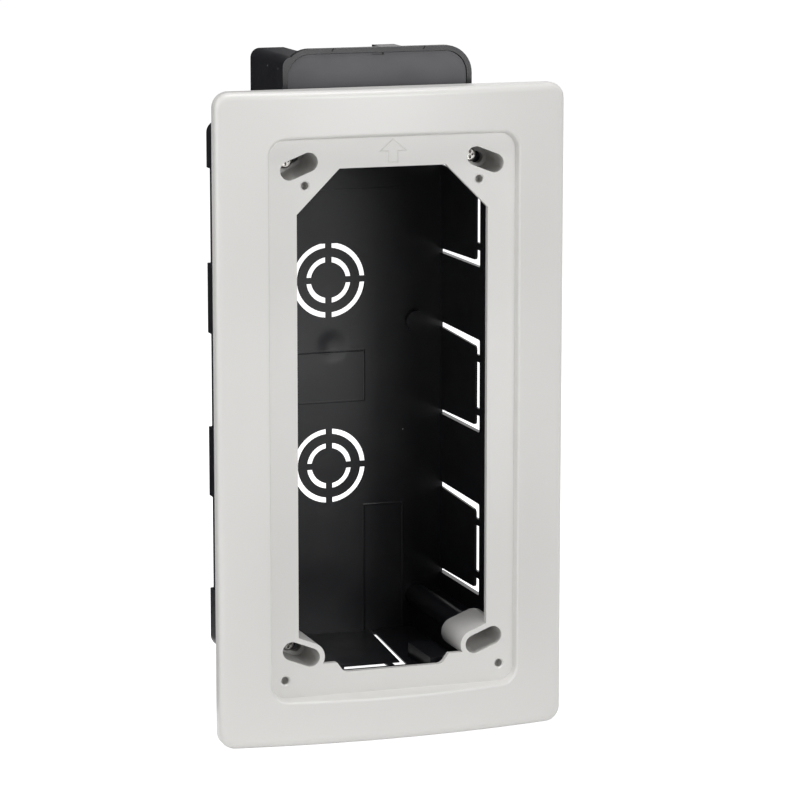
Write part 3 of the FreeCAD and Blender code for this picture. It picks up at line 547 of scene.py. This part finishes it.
def ridge_along(work, corners, width, height, back):
    """A closed ridge with a triangular section on the plane y = back, along corners given as (x, z)."""
    count = len(corners)
    rings = []
    for index in range(count):
        point = Vector(corners[index])
        before = (point - Vector(corners[index - 1])).normalized()
        after = (Vector(corners[(index + 1) % count]) - point).normalized()
        normal = Vector((before.y + after.y, -before.x - after.x)).normalized()
        normal /= max(MITRE_LIMIT, normal.dot(Vector((after.y, -after.x))))
        ring = []
        for shift, rise in RIDGE_PROFILE:
            spot = point + normal * width * shift
            ring.append(work.verts.new((spot.x, back - height * rise, spot.y)))
        rings.append(ring)
    for index in range(count):
        first, second = rings[index], rings[(index + 1) % count]
        for side in (0, 1):
            work.faces.new((first[side], first[side + 1], second[side + 1], second[side]))
    bmesh.ops.recalc_face_normals(work, faces=work.faces)


def flat_sheet(name, half_size, material):
    work = bmesh.new()
    bmesh.ops.create_grid(work, x_segments=1, y_segments=1, size=half_size)
    return add_object(name, work, material)


def add_lamp(name, place, size, power):
    lamp = bpy.data.lights.new(name, "AREA")
    lamp.shape = "RECTANGLE"
    lamp.size = size[0]
    lamp.size_y = size[1]
    lamp.energy = power
    item = bpy.data.objects.new(name, lamp)
    bpy.context.collection.objects.link(item)
    item.location = place
    item.rotation_euler = (-Vector(place)).to_track_quat("-Z", "Y").to_euler()


def add_flag(name, place, facing, size):
    """A black card that only gloss shows, to keep the black moulding dark."""
    material = matt_shade(name, FLAG_SHADE)[0]
    flag = flat_sheet(name, FLAG_HALF_SIZE, material)
    flag.location = place
    flag.rotation_euler = Vector(facing).to_track_quat("Z", "Y").to_euler()
    flag.scale = (size[0], size[1], 1.0)
    flag.visible_camera = False
    flag.visible_diffuse = False
    flag.visible_shadow = False


def add_floor():
    material, tree, shader = matt_shade("studio_white", FLOOR_SHADE)
    shader.inputs["Specular IOR Level"].default_value = 0.0
    shader.inputs["Emission Color"].default_value = grey(1.0)
    glow = calculate(tree, "MULTIPLY", white_behind(tree), FLOOR_GLOW)
    tree.links.new(glow, shader.inputs["Emission Strength"])
    floor = flat_sheet("studio_floor", FLOOR_HALF_SIZE, material)
    floor.location.z = FLOOR_LEVEL


def add_sky(scene, settings):
    world = bpy.data.worlds.new("studio_sky")
    world.use_nodes = True
    tree = world.node_tree
    strength = add_node(
        tree, "ShaderNodeMapRange", Value=white_behind(tree), To_Min=settings.sky, To_Max=1.0,
    )
    sky = tree.nodes["Background"]
    sky.inputs["Color"].default_value = grey(1.0)
    tree.links.new(strength.outputs["Result"], sky.inputs["Strength"])
    scene.world = world


def add_camera(scene, settings):
    camera = bpy.data.cameras.new("photo_camera")
    camera.sensor_width = SENSOR_WIDTH
    camera.lens = settings.lens
    camera.clip_start = NEAR_CLIP
    item = bpy.data.objects.new("photo_camera", camera)
    item.location = settings.camera_place
    item.rotation_euler = (math.pi / 2 - settings.camera_tilt, 0, -settings.camera_turn)
    bpy.context.collection.objects.link(item)
    scene.camera = item


# Operators

class BACKBOX_OT_paint_cover_frame(bpy.types.Operator):
    """Give the cover frame its light grey moulded finish"""
    bl_idname = "backbox.paint_cover_frame"
    bl_label = "Cover Frame Finish"

    def execute(self, context):
        paint_node("cover_frame", grey_plastic(context.scene.frame_finish))
        return {"FINISHED"}


class BACKBOX_OT_paint_back_box(bpy.types.Operator):
    """Give the box its black moulded finish, and the chamber's lid a lighter grey that is painted sheen
    for the light on its front
    """
    bl_idname = "backbox.paint_back_box"
    bl_label = "Box and Lid Finish"

    def execute(self, context):
        scene = context.scene
        dust = scene.box_finish.dust
        paint_node("back_box", black_plastic("black_moulding", scene.box_finish, dust))
        # The lid's lighter grey is painted sheen for the light on its front.
        paint_node("chamber_lid", black_plastic("lid_moulding", scene.lid_finish, dust))
        return {"FINISHED"}


class BACKBOX_OT_paint_screws(bpy.types.Operator):
    """Give the four frame screws their bright plating"""
    bl_idname = "backbox.paint_screws"
    bl_label = "Screw Finish"

    def execute(self, context):
        material = plated_steel(context.scene.screw_finish)
        for name in SCREWS:
            paint_node(name, material)
        return {"FINISHED"}


class BACKBOX_OT_add_up_arrow(bpy.types.Operator):
    """Mould the outline of an arrow that shows which way up the frame goes"""
    bl_idname = "backbox.add_up_arrow"
    bl_label = "Up Arrow"

    def execute(self, context):
        settings = context.scene.arrow_settings
        left_half = [(-x, z) for x, z in reversed(ARROW_RIGHT_HALF[1:])]
        corners = [(x * MM, z * MM) for x, z in [*ARROW_RIGHT_HALF, *left_half]]
        work = bmesh.new()
        ridge_along(work, corners, settings.line, settings.height, PANEL_FRONT)
        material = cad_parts["cover_frame"].data.materials[0]
        add_piece("up_arrow", work, material)
        return {"FINISHED"}


class BACKBOX_OT_build_stage(bpy.types.Operator):
    """Build the floor, the even sky, the soft lights, the black cards and the camera"""
    bl_idname = "backbox.build_stage"
    bl_label = "Studio"

    def execute(self, context):
        settings = context.scene.stage_settings
        add_floor()
        add_sky(context.scene, settings)
        for name, place, size, power in LAMPS:
            add_lamp(name, place, size, getattr(settings, power))
        for flag in FLAGS:
            add_flag(*flag)
        add_camera(context.scene, settings)
        context.scene.view_settings.view_transform = "Standard"
        return {"FINISHED"}


class BACKBOX_PT_tools(bpy.types.Panel):
    bl_label = "Flush Back Box"
    bl_idname = "BACKBOX_PT_tools"
    bl_space_type = "VIEW_3D"
    bl_region_type = "UI"
    bl_category = "Back Box"

    def draw(self, context):
        for operator in OPERATORS:
            self.layout.operator(operator.bl_idname)
        for name in SETTINGS:
            box = self.layout.box()
            group = getattr(context.scene, name)
            for label in group.__annotations__:
                box.prop(group, label)


SETTINGS = {
    "frame_finish": FrameFinish,
    "box_finish": BoxFinish,
    "lid_finish": LidFinishAndSheen,
    "screw_finish": ScrewFinish,
    "arrow_settings": ArrowSettings,
    "stage_settings": StageSettings,
}
OPERATORS = (
    BACKBOX_OT_paint_cover_frame,
    BACKBOX_OT_paint_back_box,
    BACKBOX_OT_paint_screws,
    BACKBOX_OT_add_up_arrow,
    BACKBOX_OT_build_stage,
)


def register():
    for name, group in SETTINGS.items():
        bpy.utils.register_class(group)
        setattr(bpy.types.Scene, name, PointerProperty(type=group))
    for operator in OPERATORS:
        bpy.utils.register_class(operator)
    bpy.utils.register_class(BACKBOX_PT_tools)


def unregister():
    bpy.utils.unregister_class(BACKBOX_PT_tools)
    for operator in reversed(OPERATORS):
        bpy.utils.unregister_class(operator)
    for name, group in SETTINGS.items():
        delattr(bpy.types.Scene, name)
        bpy.utils.unregister_class(group)


def main():
    register()
    for operator in OPERATORS:
        group, name = operator.bl_idname.split(".")
        getattr(getattr(bpy.ops, group), name)()


if __name__ == "__main__":
    main()
